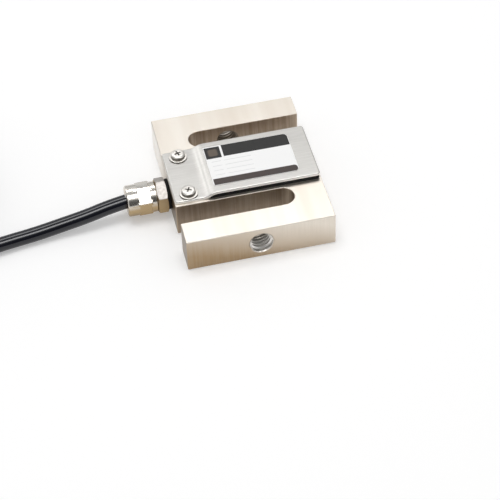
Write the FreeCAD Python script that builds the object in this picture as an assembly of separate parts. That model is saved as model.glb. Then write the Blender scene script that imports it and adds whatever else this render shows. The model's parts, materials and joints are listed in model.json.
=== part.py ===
"""S-type load cell: one slotted steel beam, loaded along Y through a tapped hole in each end.

Frame, in millimetres: the beam lies on its plain back. The origin is the middle of that back face,
+Y runs along the load axis, -X is the side that the cable leaves from, +Z points out of the labelled front.
"""
import FreeCAD
import Part
import math
import os

V = FreeCAD.Vector
X_AXIS = V(1, 0, 0)
Y_AXIS = V(0, 1, 0)
Z_AXIS = V(0, 0, 1)

# Elastic body
body_width = 50.8
body_height = 62.0
body_thickness = 12.7
arm_height = 9.5          # each loaded arm, measured along the load axis
slot_width = 8.0
slot_land = 10.9          # metal left between a slot's blind end and the side of the body
edge_break = 0.2

# Load threads, M8 x 1.25, one through each arm
load_thread_bore = 6.8
load_thread_mouth = 8.8
load_thread_height = body_thickness / 2

# Gauge pocket: a dumbbell milled from the front, with the back left whole
lobe_radius = 9.75
lobe_offset = 7.5
neck_width = 15.0
pocket_floor = 2.2

# Cover: one sheet with a joggle, screwed down along its left edge only
cover_thickness = 1.0
cover_rise = 1.5          # clear height under the raised part
cover_inset_left = 0.2    # from the body's left side
cover_inset_right = 0.4
cover_margin = 1.0        # bare strip of the beam along each long edge
cover_flange = 11.0       # width of the part that lies on the beam
joggle_run = 2.4
joggle_radius = 1.0
cover_corner = 1.0
cover_edge = 0.45

# Rubber strip under the raised part
seal_wall = 2.4
seal_inset = 0.15
seal_wedge = 1.1          # how far up the joggle the strip's ends are tucked

# Rating label
label_inset_left = 0.6    # from the top of the joggle
label_inset_right = 6.5
label_edge = 3.025        # from each long edge of the cover
label_shift = 0.175       # and then moved up from the middle
label_thickness = 0.15
label_corner = 1.6

# Cover screws, M2.5 low pan heads with a cross recess, each on a flat washer
screw_inset = 5.2         # from the cover's left edge
screw_edge = 3.3          # from the cover's long edges
screw_shank = 2.3
screw_length = 6.0
screw_head = 4.9
screw_head_height = 1.4
recess_width = 2.7
recess_slot = 0.65
recess_depth = 0.9
screw_clearance = 0.05    # radial, in the tapped hole
screw_hole_depth = 6.5
cover_hole = 2.9
flat_washer_outer = 6.3
flat_washer_thickness = 0.5
washer_bore = 2.7

# Cable gland, nickel-plated brass, its axis along -X
gland_height = body_thickness / 2
gland_flats = 11.0
gland_thread = 8.0
gland_thread_length = 6.5
gland_thread_clearance = 0.05
gland_washer_outer = 10.6
gland_washer_thickness = 1.1
gland_hex_length = 3.4
gland_neck = 8.6          # thread under the cap nut
gland_neck_length = 6.1
gland_seat_mouth = 7.6
gland_seat_depth = 1.6
nut_gap = 0.15
nut_flats = 10.0
nut_collar = 10.6
nut_collar_length = 1.7
nut_hex_length = 5.1
nut_nose = 10.9
nut_nose_length = 3.5
nut_end_wall = 1.3
nut_mouth_round = 0.6
nut_turn = 8.0            # degrees that the tightened nut stands past the gland's hexagon
hex_chamfer = 0.35
thrust_ring_thickness = 0.6
fit_gap = 0.05            # radial, between the cable and what it passes through

# Cable, four cores and a shield in a black jacket
cable_diameter = 5.0
tail_reach = 3.65         # how far the jacket reaches into the pocket
core_diameter = 1.1
core_spread = 1.0         # from the cable's axis to a core's axis

# Inside the pocket
gauge_thickness = 0.15
gauge_half_angle = 22.0
gauge_bottom = 3.8
gauge_top = 9.6
board_length = 12.0
board_width = 10.0
board_thickness = 1.0
solder_radius = 0.75
solder_height = 0.4
lead_diameter = 0.3
resistor_size = (1.6, 3.2, 0.6)

# Spare cable: a neat coil, three turns wide and four high, held by two flat ties
coil_x = -125.0
coil_y = 24.0
coil_inner = 20.0
coil_columns = 3
coil_layers = 4
coil_corner = 1.3
coil_lead_sink = 0.2      # how far the first turn lies inside the coil's outline
coil_end_angle = -140.0
coil_end_span = 70.0
tie_thickness = 0.5
tie_width = 4.0
tie_gap = 0.3
tie_angles = {"cable_tie_near": -115.0, "cable_tie_far": 65.0}
free_core_diameter = 1.2
tinned_diameter = 0.7
tinned_length = 6.0
shield_diameter = 1.4

# The cable's route from the gland to the coil, in mm
cable_route = [
    (-46.5, -0.7, 5.85),
    (-54.0, -1.9, 4.7),
    (-63.0, -2.7, 3.4),
    (-72.5, -4.2, 2.65),
    (-81.5, -5.6, 2.5),
    (-90.5, -7.5, 2.75),
    (-98.0, -8.3, 3.2),
]

# Worked out from the sizes above
arm_face = body_height / 2 - arm_height
beam_half = arm_face - slot_width
slot_tip = body_width / 2 - slot_land
body_left = -body_width / 2
pocket_left = -lobe_offset - lobe_radius
tail_end = pocket_left + tail_reach
cover_left = body_left + cover_inset_left
cover_right = body_width / 2 - cover_inset_right
cover_width = 2 * (beam_half - cover_margin)
joggle_start = cover_left + cover_flange
joggle_end = joggle_start + joggle_run
label_left = joggle_end + label_inset_left
label_right = cover_right - label_inset_right
label_half = cover_width / 2 - label_edge
label_bottom = label_shift - label_half
label_top = label_shift + label_half
screw_x = cover_left + screw_inset
cover_top = body_thickness + cover_rise + cover_thickness
flange_top = body_thickness + cover_thickness
gland_face = body_left - gland_washer_thickness
nut_face = gland_face - gland_hex_length - nut_gap
nut_end = nut_face - nut_collar_length - nut_hex_length - nut_nose_length
neck_end = gland_face - gland_hex_length - gland_neck_length
thrust_face = nut_end + nut_end_wall
cable_bore = cable_diameter + 2 * fit_gap
board_top = pocket_floor + board_thickness
solder_top = board_top + solder_height
coil_outer = coil_inner + coil_columns * cable_diameter
coil_bottom = tie_thickness
coil_step = coil_bottom + (coil_layers - 1) * cable_diameter
coil_top = coil_step + cable_diameter
lead_radius = coil_outer - cable_diameter / 2 - coil_lead_sink
lead_height = coil_bottom + cable_diameter / 2 + coil_lead_sink
screw_places = [(screw_x, side * (cover_width / 2 - screw_edge)) for side in (-1, 1)]


def box(x0, x1, y0, y1, z0, z1):
    return Part.makeBox(x1 - x0, y1 - y0, z1 - z0, V(x0, y0, z0))


def turned(profile, base, axis=Z_AXIS, angle=360.0):
    """A solid of revolution from a closed outline of points."""
    face = Part.Face(Part.makePolygon(profile + profile[:1]))
    return face.revolve(base, axis, angle)


def along_x(pairs, height=gland_height):
    """A solid turned about the gland's axis from (x, radius) pairs."""
    points = [V(x, 0, height + radius) for x, radius in pairs]
    return turned(points, V(0, 0, height), X_AXIS)


def rod_x(x0, x1, diameter):
    return Part.makeCylinder(diameter / 2, x1 - x0, V(x0, 0, gland_height), X_AXIS)


def polar(radius, angle, z):
    """A point about the coil's axis."""
    a = math.radians(angle)
    return V(coil_x + radius * math.cos(a), coil_y + radius * math.sin(a), z)


def bent_rod(points, diameter, name=None):
    """A round rod along straight runs joined by tangent arcs, each as large as its two runs allow."""
    points = [V(*p) for p in points]
    edges = []
    radii = []
    start = points[0]
    for before, corner, after in zip(points, points[1:], points[2:]):
        back = (before - corner).normalize()
        ahead = (after - corner).normalize()
        half_turn = (math.pi - back.getAngle(ahead)) / 2
        reach = 0.45 * min((before - corner).Length, (after - corner).Length)
        radius = reach / math.tan(half_turn)
        enter = corner + back * reach
        leave = corner + ahead * reach
        to_centre = radius / math.cos(half_turn)
        centre = corner + (back + ahead).normalize() * to_centre
        middle = centre + (corner - centre).normalize() * radius
        edges.append(Part.LineSegment(start, enter).toShape())
        edges.append(Part.Arc(enter, middle, leave).toShape())
        radii.append(round(radius, 1))
        start = leave
    edges.append(Part.LineSegment(start, points[-1]).toShape())
    path = Part.Wire(edges)
    section = Part.Wire(Part.makeCircle(diameter / 2, points[0], points[1] - points[0]))
    rod = path.makePipeShell([section], True, False)
    if name:
        ratio = rod.Volume / (math.pi * diameter ** 2 / 4 * path.Length)
        print(name, "length", round(path.Length, 1), "radii", radii, "volume ratio", round(ratio, 4))
    return rod


def hexagon_x(x0, x1, flats, turn=0.0):
    """A hexagon along X with a corner uppermost, its corners chamfered at both ends."""
    corner = flats / 2 / math.cos(math.pi / 6)
    points = []
    for step in range(7):
        a = math.radians(60 * step + turn)
        points.append(V(x0, -corner * math.sin(a), gland_height + corner * math.cos(a)))
    prism = Part.Face(Part.makePolygon(points)).extrude(V(x1 - x0, 0, 0))
    low = flats / 2 + hex_chamfer / 2
    turned_blank = along_x([(x0, 0), (x0, low), (x0 + hex_chamfer, corner),
                            (x1 - hex_chamfer, corner), (x1, low), (x1, 0)])
    return prism.common(turned_blank)


def slot_cutter(side):
    """An open-sided slot with a full round end. side -1 is the slot below the beam."""
    centre = side * (beam_half + slot_width / 2)
    end = -side * (slot_tip - slot_width / 2)
    mouth = side * body_width
    low, high = sorted((end, mouth))
    run = box(low, high, centre - slot_width / 2, centre + slot_width / 2, -1, body_thickness + 1)
    bottom = V(end, centre, -1)
    return run.fuse(Part.makeCylinder(slot_width / 2, body_thickness + 2, bottom))


def load_thread_cutter(side):
    """The tapped hole through one arm, with its 90-degree mouth."""
    face = side * body_height / 2
    sink = (load_thread_mouth - load_thread_bore) / 2
    mouth, bore = load_thread_mouth / 2, load_thread_bore / 2
    profile = [V(0, face + side * sink, load_thread_height),
               V(mouth + sink, face + side * sink, load_thread_height),
               V(bore, face - side * sink, load_thread_height),
               V(bore, side * (arm_face - 1), load_thread_height),
               V(0, side * (arm_face - 1), load_thread_height)]
    return turned(profile, V(0, 0, load_thread_height), Y_AXIS)


def pocket_cutter():
    depth = body_thickness + 1 - pocket_floor
    cutter = box(-lobe_offset, lobe_offset, -neck_width / 2, neck_width / 2, pocket_floor, body_thickness + 1)
    for side in (-1, 1):
        cutter = cutter.fuse(Part.makeCylinder(lobe_radius, depth, V(side * lobe_offset, 0, pocket_floor)))
    return cutter


def elastic_body():
    half_x, half_y = body_width / 2, body_height / 2
    block = box(-half_x, half_x, -half_y, half_y, 0, body_thickness)
    for side in (-1, 1):
        block = block.cut(slot_cutter(side))
    block = block.makeChamfer(edge_break, block.Edges)
    for side in (-1, 1):
        block = block.cut(load_thread_cutter(side))
    block = block.cut(pocket_cutter())
    gland_bore = gland_thread + 2 * gland_thread_clearance
    block = block.cut(rod_x(body_left - 1, pocket_left + 2, gland_bore))
    for x, y in screw_places:
        bore = screw_shank / 2 + screw_clearance
        hole = Part.makeCylinder(bore, screw_hole_depth + 1, V(x, y, body_thickness - screw_hole_depth))
        block = block.cut(hole)
    return block


def cover_underside():
    """The sheet's lower line, seen along Y: flange, joggle and raised part, with its two bends."""
    low, high = body_thickness, body_thickness + cover_rise
    corners = [V(cover_left, 0, low), V(joggle_start, 0, low),
               V(joggle_end, 0, high), V(cover_right, 0, high)]
    half_slope = math.atan2(cover_rise, joggle_run) / 2
    bends = (joggle_radius + cover_thickness, joggle_radius)
    edges = []
    start = corners[0]
    for before, corner, after, radius in zip(corners, corners[1:], corners[2:], bends):
        reach = radius * math.tan(half_slope)
        back = (before - corner).normalize()
        ahead = (after - corner).normalize()
        enter, leave = corner + back * reach, corner + ahead * reach
        centre = corner + (back + ahead).normalize() * (radius / math.cos(half_slope))
        middle = centre + (corner - centre).normalize() * radius
        edges.append(Part.LineSegment(start, enter).toShape())
        edges.append(Part.Arc(enter, middle, leave).toShape())
        start = leave
    edges.append(Part.LineSegment(start, corners[-1]).toShape())
    return Part.Wire(edges)


def upper_outline(solid):
    """The edges round the faces that point up."""
    seen = {}
    for face in solid.Faces:
        low_u, high_u, low_v, high_v = face.ParameterRange
        if face.normalAt((low_u + high_u) / 2, (low_v + high_v) / 2).z > 0.3:
            for edge in face.Edges:
                seen.setdefault(edge.hashCode(), []).append(edge)
    return [edges[0] for edges in seen.values() if len(edges) == 1]


def cover_plate():
    section = cover_underside().makeOffset2D(cover_thickness, 0, True, True)
    section.translate(V(0, -cover_width / 2, 0))
    sheet = section.extrude(V(0, cover_width, 0))
    posts = [e for e in sheet.Edges if e.BoundBox.XLength + e.BoundBox.YLength < 0.001]
    sheet = sheet.makeFillet(cover_corner, posts)
    sheet = sheet.makeFillet(cover_edge, upper_outline(sheet))
    for x, y in screw_places:
        sheet = sheet.cut(Part.makeCylinder(cover_hole / 2, body_thickness, V(x, y, body_thickness / 2 + 1)))
    return sheet


def cover_seal(cover):
    """A black strip round three sides of the raised part, its two ends tucked into the joggle."""
    y = cover_width / 2 - seal_inset
    end = cover_right - seal_inset
    top = body_thickness + cover_rise
    strip = box(joggle_start + seal_wedge, end, -y, y, body_thickness, top)
    strip = strip.makeFillet(cover_corner, [e for e in strip.Edges if e.BoundBox.XMin > end - 0.01
                                            and e.BoundBox.ZLength > cover_rise / 2])
    inside = box(joggle_start, end - seal_wall, -y + seal_wall, y - seal_wall, body_thickness - 1, top + 1)
    return strip.cut(inside).cut(cover)


def rating_label():
    label = box(label_left, label_right, label_bottom, label_top, cover_top, cover_top + label_thickness)
    right = [e for e in label.Edges if e.BoundBox.XMin > label_right - 0.01 and e.BoundBox.YLength < 0.01]
    return label.makeFillet(label_corner, right)


def cover_screw(x, y, turn):
    seat = flange_top + flat_washer_thickness
    top, rim = seat + screw_head_height, seat + 0.45 * screw_head_height
    radius = screw_head / 2
    outline = [Part.LineSegment(V(0, 0, seat), V(radius, 0, seat)).toShape(),
               Part.LineSegment(V(radius, 0, seat), V(radius, 0, rim)).toShape(),
               Part.Arc(V(radius, 0, rim), V(0.78 * radius, 0, seat + 0.86 * screw_head_height),
                        V(0.3 * radius, 0, top)).toShape(),
               Part.LineSegment(V(0.3 * radius, 0, top), V(0, 0, top)).toShape(),
               Part.LineSegment(V(0, 0, top), V(0, 0, seat)).toShape()]
    head = Part.Face(Part.Wire(outline)).revolve(V(0, 0, 0), Z_AXIS, 360)
    shank = turned([V(0, 0, seat + 0.1), V(screw_shank / 2, 0, seat + 0.1),
                    V(screw_shank / 2, 0, seat - screw_length + 0.4),
                    V(screw_shank / 2 - 0.4, 0, seat - screw_length), V(0, 0, seat - screw_length)], V(0, 0, 0))
    floor = top - recess_depth
    arm, slot = recess_width / 2, recess_slot / 2
    cross = box(-arm, arm, -slot, slot, floor, top + 1).fuse(box(-slot, slot, -arm, arm, floor, top + 1))
    taper = turned([V(0, 0, floor), V(0.3 * arm, 0, floor), V(arm, 0, top), V(arm, 0, top + 1),
                    V(0, 0, top + 1)], V(0, 0, 0))
    screw = head.fuse(shank).cut(cross.common(taper))
    screw.rotate(V(0, 0, 0), Z_AXIS, turn)
    screw.translate(V(x, y, 0))
    return screw


def ring_z(x, y, z, thickness, outer, bore):
    disc = Part.makeCylinder(outer / 2, thickness, V(x, y, z))
    return disc.cut(Part.makeCylinder(bore / 2, thickness + 2, V(x, y, z - 1)))


def gland_sealing_washer():
    bore = gland_thread / 2 + fit_gap
    outer = gland_washer_outer / 2
    return along_x([(gland_face, bore), (gland_face, outer), (body_left, outer), (body_left, bore)])


def gland_body():
    hex_left = gland_face - gland_hex_length
    spigot_end = body_left + gland_thread_length
    spigot, neck = gland_thread / 2, gland_neck / 2
    bore = cable_bore / 2
    core = along_x([(neck_end, 0), (neck_end, neck - 0.3), (neck_end + 0.3, neck), (hex_left + 0.5, neck),
                    (hex_left + 0.5, spigot), (spigot_end - 0.4, spigot), (spigot_end, spigot - 0.4),
                    (spigot_end, 0)])
    hollow = along_x([(neck_end - 1, 0), (neck_end - 1, gland_seat_mouth / 2), (neck_end, gland_seat_mouth / 2),
                      (neck_end + gland_seat_depth, bore), (spigot_end + 1, bore), (spigot_end + 1, 0)])
    return hexagon_x(hex_left, gland_face, gland_flats).fuse(core).cut(hollow)


def gland_bush():
    """The rubber bush that the nut squeezes into the body's cone and round the cable."""
    bore = cable_diameter / 2 + fit_gap
    outer = gland_seat_mouth / 2 - fit_gap
    tip = neck_end + gland_seat_depth - 2 * fit_gap
    back = thrust_face + thrust_ring_thickness
    return along_x([(back, bore), (back, outer), (neck_end, outer), (tip, bore + fit_gap), (tip, bore)])


def gland_thrust_ring():
    outer = gland_neck / 2
    back = thrust_face + thrust_ring_thickness
    return along_x([(thrust_face, cable_bore / 2), (thrust_face, outer), (back, outer), (back, cable_bore / 2)])


def gland_cap_nut():
    collar_left = nut_face - nut_collar_length
    hex_left = collar_left - nut_hex_length
    collar, nose = nut_collar / 2, nut_nose / 2
    chamber = gland_neck / 2 + fit_gap
    turned_parts = along_x([(nut_end, 0), (nut_end, nose - nut_mouth_round), (nut_end + nut_mouth_round, nose),
                            (hex_left + 0.5, nose), (hex_left + 0.5, collar), (nut_face - 0.3, collar),
                            (nut_face, collar - 0.3), (nut_face, 0)])
    hollow = along_x([(nut_end - 1, 0), (nut_end - 1, cable_bore / 2), (thrust_face, cable_bore / 2),
                      (thrust_face, chamber), (nut_face + 1, chamber), (nut_face + 1, 0)])
    flats = hexagon_x(hex_left, collar_left, nut_flats, nut_turn)
    return flats.fuse(turned_parts).cut(hollow)


def strain_gauge(side_x, side_y):
    """A foil gauge bonded to the thinnest part of a lobe's wall."""
    inner = lobe_radius - gauge_thickness
    section = Part.Face(Part.makePolygon([V(inner, 0, gauge_bottom), V(lobe_radius, 0, gauge_bottom),
                                          V(lobe_radius, 0, gauge_top), V(inner, 0, gauge_top),
                                          V(inner, 0, gauge_bottom)]))
    section.rotate(V(0, 0, 0), Z_AXIS, 90 * side_y - gauge_half_angle)
    gauge = section.revolve(V(0, 0, 0), Z_AXIS, 2 * gauge_half_angle)
    gauge.translate(V(side_x * lobe_offset, 0, 0))
    return gauge


def terminal_board():
    x, y = board_length / 2, board_width / 2
    return box(-x, x, -y, y, pocket_floor, board_top)


def core_pads():
    return [(-board_length / 2 + 1.5, y) for y in (-3.6, -1.2, 1.2, 3.6)]


def lead_pads(side_x, side_y):
    y = side_y * (board_width / 2 - 0.8)
    return [(side_x * 2.4, y), (side_x * 1.0, y)]


def solder_joints():
    joints = [Part.makeCone(solder_radius, solder_radius - 0.2, solder_height, V(x, y, board_top))
              for x, y in core_pads()]
    small = solder_radius - 0.25
    for side_x in (-1, 1):
        for side_y in (-1, 1):
            joints += [Part.makeCone(small, small - 0.2, solder_height, V(x, y, board_top))
                       for x, y in lead_pads(side_x, side_y)]
    return joints


def gauge_leads(side_x, side_y):
    """Two fine wires from a gauge down to the board."""
    leads = []
    for (pad_x, pad_y), degrees, z in zip(lead_pads(side_x, side_y), (105, 111), (5.2, 4.5)):
        a = math.radians(degrees)
        reach = lobe_radius - gauge_thickness - 2 * fit_gap
        start = (side_x * (lobe_offset + reach * math.cos(a)), side_y * reach * math.sin(a), z)
        leads.append(bent_rod([start, (pad_x, pad_y, z), (pad_x, pad_y, solder_top)], lead_diameter))
    return leads


def inner_core(pad, side, row):
    """One insulated core, from the end of the jacket to its pad."""
    pad_x, pad_y = pad
    y, z = side * core_spread, gland_height + row * core_spread
    route = [(tail_end, y, z), (tail_end + 3.2, y, z), (pad_x, pad_y, z - 0.4), (pad_x, pad_y, solder_top)]
    return bent_rod(route, core_diameter)


def trim_resistors():
    length_x, length_y, height = resistor_size
    return [box(x, x + length_x, -length_y / 2, length_y / 2, board_top, board_top + height)
            for x in (-1.2, 2.2)]


def signal_cable():
    """The cable from the gland down to the surface and along it, as far as the coil."""
    joint = (coil_x + coil_inner, coil_y - lead_radius, lead_height)
    cable = bent_rod([(nut_end, 0, gland_height)] + cable_route + [joint], cable_diameter, "signal_cable")
    return cable.cut(rod_x(nut_end, tail_end, cable_diameter))


def cable_coil():
    """The outer shape of the spare cable's turns, with the first turn's lead-in and the last turn's end."""
    step_radius = coil_outer - cable_diameter
    section = [polar(coil_inner, 0, coil_bottom), polar(coil_outer, 0, coil_bottom),
               polar(coil_outer, 0, coil_step), polar(step_radius, 0, coil_step),
               polar(step_radius, 0, coil_top), polar(coil_inner, 0, coil_top)]
    centre = V(coil_x, coil_y, 0)
    ring = turned(section, centre)

    def is_outer_corner(edge):
        bounds = edge.BoundBox
        concave = abs(bounds.ZMin - coil_step) < 0.01 and bounds.XLength < 2 * coil_outer - 1
        return bounds.ZLength < 0.01 and bounds.XLength > coil_inner and not concave

    ring = ring.makeChamfer(coil_corner, [e for e in ring.Edges if is_outer_corner(e)])
    inner, low = step_radius - coil_corner - 1, coil_step - coil_corner - 1
    end_section = [polar(inner, 0, low), polar(coil_outer, 0, low), polar(coil_outer, 0, coil_top - coil_corner),
                   polar(coil_outer - coil_corner, 0, coil_top), polar(inner, 0, coil_top)]
    last_turn = turned(end_section, centre, Z_AXIS, coil_end_span)
    last_turn.rotate(centre, Z_AXIS, coil_end_angle)
    lead_in = Part.makeCylinder(cable_diameter / 2, coil_inner,
                                V(coil_x, coil_y - lead_radius, lead_height), X_AXIS)
    return ring.fuse(last_turn).fuse(lead_in)


def cable_tie(angle, stepped):
    """A flat tie wrapped once round the coil. stepped is where the top row has one turn less."""
    low, high = coil_inner - tie_gap, coil_outer + tie_gap
    top = coil_top + tie_gap
    outline = [V(low, 0, coil_bottom), V(high, 0, coil_bottom)]
    if stepped:
        outline += [V(high, 0, coil_step), V(high - cable_diameter, 0, top)]
    else:
        outline += [V(high, 0, top)]
    outline += [V(low, 0, top), V(low, 0, coil_bottom)]
    inside = Part.makePolygon(outline)
    outside = Part.Face(inside.makeOffset2D(tie_thickness))
    band = outside.cut(Part.Face(inside))
    band.translate(V(0, -tie_width / 2, 0))
    tie = band.extrude(V(0, tie_width, 0))
    tie.rotate(V(0, 0, 0), Z_AXIS, angle)
    tie.translate(V(coil_x, coil_y, 0))
    return tie


def end_core(points, diameter, tip_diameter, tip_length):
    """A core at the stripped end, with its bare tip."""
    route = [polar(*point) for point in points]
    core = bent_rod(route, diameter)
    ahead = (route[-1] - route[-2]).normalize()
    start = route[-1] - ahead * tip_diameter
    return core.fuse(Part.makeCylinder(tip_diameter / 2, tip_length + tip_diameter, start, ahead))


# Radius, angle and height of each stripped core about the coil, lying on its top row
end_core_routes = {
    "end_core_red": [(31.7, -140, 18.5), (31.4, -150, 18.3), (30.9, -163, 16.8),
                     (30.85, -178, 16.15), (30.95, -193, 16.2)],
    "end_core_green": [(31.7, -140, 17.0), (31.9, -150, 16.8), (32.15, -163, 16.2),
                       (32.1, -177, 16.15), (32.2, -189, 16.2)],
    "end_core_black": [(33.3, -140, 17.0), (33.35, -150, 16.6), (33.45, -163, 16.2),
                       (33.4, -178, 16.15), (33.75, -192, 16.2)],
    "end_core_white": [(33.3, -140, 18.5), (33.2, -150, 18.4), (32.85, -164, 17.5),
                       (32.75, -178, 17.3), (32.95, -190, 17.4)],
}
end_shield_route = [(32.5, -140, 19.65), (32.3, -149, 19.85), (31.6, -163, 18.9), (31.4, -176, 17.8)]


def save(name, *solids):
    shape = solids[0] if len(solids) == 1 else Part.makeCompound(list(solids))
    shape.exportStep(f"parts/{name}.step")


def main():
    os.makedirs("parts", exist_ok=True)
    cover = cover_plate()
    save("elastic_body", elastic_body())
    save("cover_plate", cover)
    save("cover_seal", cover_seal(cover))
    save("rating_label", rating_label())
    save("cover_screws", *[cover_screw(x, y, turn) for (x, y), turn in zip(screw_places, (20, 62))])
    save("flat_washers", *[ring_z(x, y, flange_top, flat_washer_thickness, flat_washer_outer, washer_bore)
                           for x, y in screw_places])
    for side_x, left_right in ((-1, "left"), (1, "right")):
        for side_y, low_high in ((-1, "lower"), (1, "upper")):
            save(f"strain_gauge_{low_high}_{left_right}", strain_gauge(side_x, side_y))
            save(f"gauge_leads_{low_high}_{left_right}", *gauge_leads(side_x, side_y))
    save("terminal_board", terminal_board())
    save("solder_joints", *solder_joints())
    save("trim_resistors", *trim_resistors())
    cores = zip(("white", "green", "black", "red"), core_pads(), (-1, -1, 1, 1), (1, -1, -1, 1))
    for colour, pad, side, row in cores:
        save(f"inner_core_{colour}", inner_core(pad, side, row))
    save("cable_tail", rod_x(nut_end, tail_end, cable_diameter))
    save("gland_sealing_washer", gland_sealing_washer())
    save("gland_body", gland_body())
    save("gland_bush", gland_bush())
    save("gland_thrust_ring", gland_thrust_ring())
    save("gland_cap_nut", gland_cap_nut())
    save("signal_cable", signal_cable())
    save("cable_coil", cable_coil())
    for (name, angle), stepped in zip(tie_angles.items(), (False, True)):
        save(name, cable_tie(angle, stepped))
    for name, points in end_core_routes.items():
        save(name, end_core(points, free_core_diameter, tinned_diameter, tinned_length))
    save("end_shield", end_core(end_shield_route, shield_diameter, shield_diameter - 0.3, 2.0))


main()
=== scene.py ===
"""S-type load cell: the slotted steel beam, its joggled cover, rating label, cable gland and spare cable.

Metres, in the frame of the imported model: the beam lies on its plain back, +Y runs along the load axis,
the cable leaves towards -X and the labelled front faces +Z.
"""
import bmesh
import bpy
import json
import math
from mathutils import Matrix, Vector

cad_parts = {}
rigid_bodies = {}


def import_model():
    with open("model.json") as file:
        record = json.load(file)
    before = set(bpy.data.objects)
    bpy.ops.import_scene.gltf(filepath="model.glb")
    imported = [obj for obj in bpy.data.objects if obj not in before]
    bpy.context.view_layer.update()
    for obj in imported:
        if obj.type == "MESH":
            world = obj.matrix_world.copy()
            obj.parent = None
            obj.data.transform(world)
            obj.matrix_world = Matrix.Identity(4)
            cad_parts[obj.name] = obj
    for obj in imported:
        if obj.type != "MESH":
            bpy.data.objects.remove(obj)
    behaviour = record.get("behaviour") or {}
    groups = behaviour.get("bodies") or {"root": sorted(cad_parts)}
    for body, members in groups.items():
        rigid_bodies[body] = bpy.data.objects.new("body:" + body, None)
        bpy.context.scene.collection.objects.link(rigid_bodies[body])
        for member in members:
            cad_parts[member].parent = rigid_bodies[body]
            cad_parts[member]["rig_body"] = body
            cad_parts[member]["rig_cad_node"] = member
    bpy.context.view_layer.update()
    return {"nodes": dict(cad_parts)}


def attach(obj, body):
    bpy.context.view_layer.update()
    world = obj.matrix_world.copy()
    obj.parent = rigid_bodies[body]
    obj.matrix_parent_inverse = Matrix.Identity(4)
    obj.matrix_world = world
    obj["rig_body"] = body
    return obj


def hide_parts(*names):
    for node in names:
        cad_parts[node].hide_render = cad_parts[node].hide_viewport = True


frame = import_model()
nodes = frame["nodes"]
scene = bpy.context.scene

MM = 0.001

# Beam
BEAM_END = 31.0 * MM
BEAM_SIDE = 25.4 * MM
SLOT_WALL = 21.5 * MM
SLOT_MIDDLE = 17.5 * MM
SLOT_END = 10.5 * MM
SLOT_HALF = 4.0 * MM
BORE_HEIGHT = 6.35 * MM
TONE_REACH = 0.06 * MM

# Cover
COVER_LEFT = -25.2 * MM
COVER_RIGHT = 25.0 * MM
COVER_WIDTH = 25.0 * MM
COVER_SHEET = 1.0 * MM
COVER_RISE = 1.5 * MM
JOGGLE_START = -14.2 * MM
JOGGLE_END = -11.8 * MM
FLANGE_TOP = 13.7 * MM
COVER_BEND = 1.25 * MM
COVER_CORNER = 1.0 * MM
COVER_EDGE = 0.5 * MM
COVER_BURR = 0.1 * MM
SCREW_WAY = 1.45 * MM

# Label's printed fields, each from its near left to its far right corner, and its ruled lines
LABEL_SQUARE = ((-10.95 * MM, 3.67 * MM), (-5.6 * MM, 9.3 * MM))
LABEL_PATCH = ((-9.9 * MM, 4.8 * MM), (-6.65 * MM, 8.2 * MM))
LABEL_BAND = ((-12.0 * MM, -2.0 * MM), (18.4 * MM, 9.6 * MM))
LABEL_BAR = ((-16.0 * MM, -9.25 * MM), (18.3 * MM, -6.3 * MM))
LABEL_RULES = (2.0 * MM, -0.2 * MM, -2.4 * MM, -4.6 * MM)
RULE_HALF = 0.11 * MM

# Fasteners
WASHER_RADIUS = 3.15 * MM
WASHER_BORE = 1.35 * MM
FLAT_WASHER = 0.5 * MM
SCREW_HEAD = 4.9 * MM
SCREW_HEAD_HEIGHT = 1.4 * MM
SCREW_HEAD_ROUND = 0.95 * MM
SHANK_RADIUS = 1.15 * MM
SHANK_LENGTH = 5.6 * MM
SHANK_TIP = 0.4 * MM
RECESS_DEPTH = 0.9 * MM
RECESS_ARM = 0.66 * MM
RECESS_REACH = 1.53 * MM
SCREW_PLACES = ((-20.0 * MM, -9.2 * MM), (-20.0 * MM, 9.2 * MM))
SCREW_TURNS = (24.0, -18.0)

# Gland
GLAND_FACE = -26.5 * MM
BODY_FLATS = 11.0 * MM
BODY_HEX = 3.4 * MM

# Cable
CABLE_DIAMETER = 5.0 * MM
CABLE_EXIT = (-0.04035, 0.0, 0.00635)
CABLE_ROUTE = [
    (-0.0465, -0.0007, 0.00585),
    (-0.0540, -0.0019, 0.00470),
    (-0.0630, -0.0026, 0.00340),
    (-0.0725, -0.0039, 0.00265),
    (-0.0815, -0.0051, 0.00255),
    (-0.0905, -0.0069, 0.00280),
    (-0.0980, -0.0080, 0.00320),
    (-0.1050, -0.0082, 0.00320),
    (-0.1180, -0.0084, 0.00310),
]

# Spare cable's coil
COIL_X = -0.125
COIL_Y = 0.024
COIL_START = -90.0
COIL_STEP = 20.0
COIL_FIRST_RADIUS = 32.5 * MM
COIL_FIRST_HEIGHT = 3.0 * MM
COIL_END_TURNS = 10
COIL_END_ANGLE = 50.0
CROSSING_SPAN = 60.0


# ---------------------------------------------------------------- shader helpers


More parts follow.
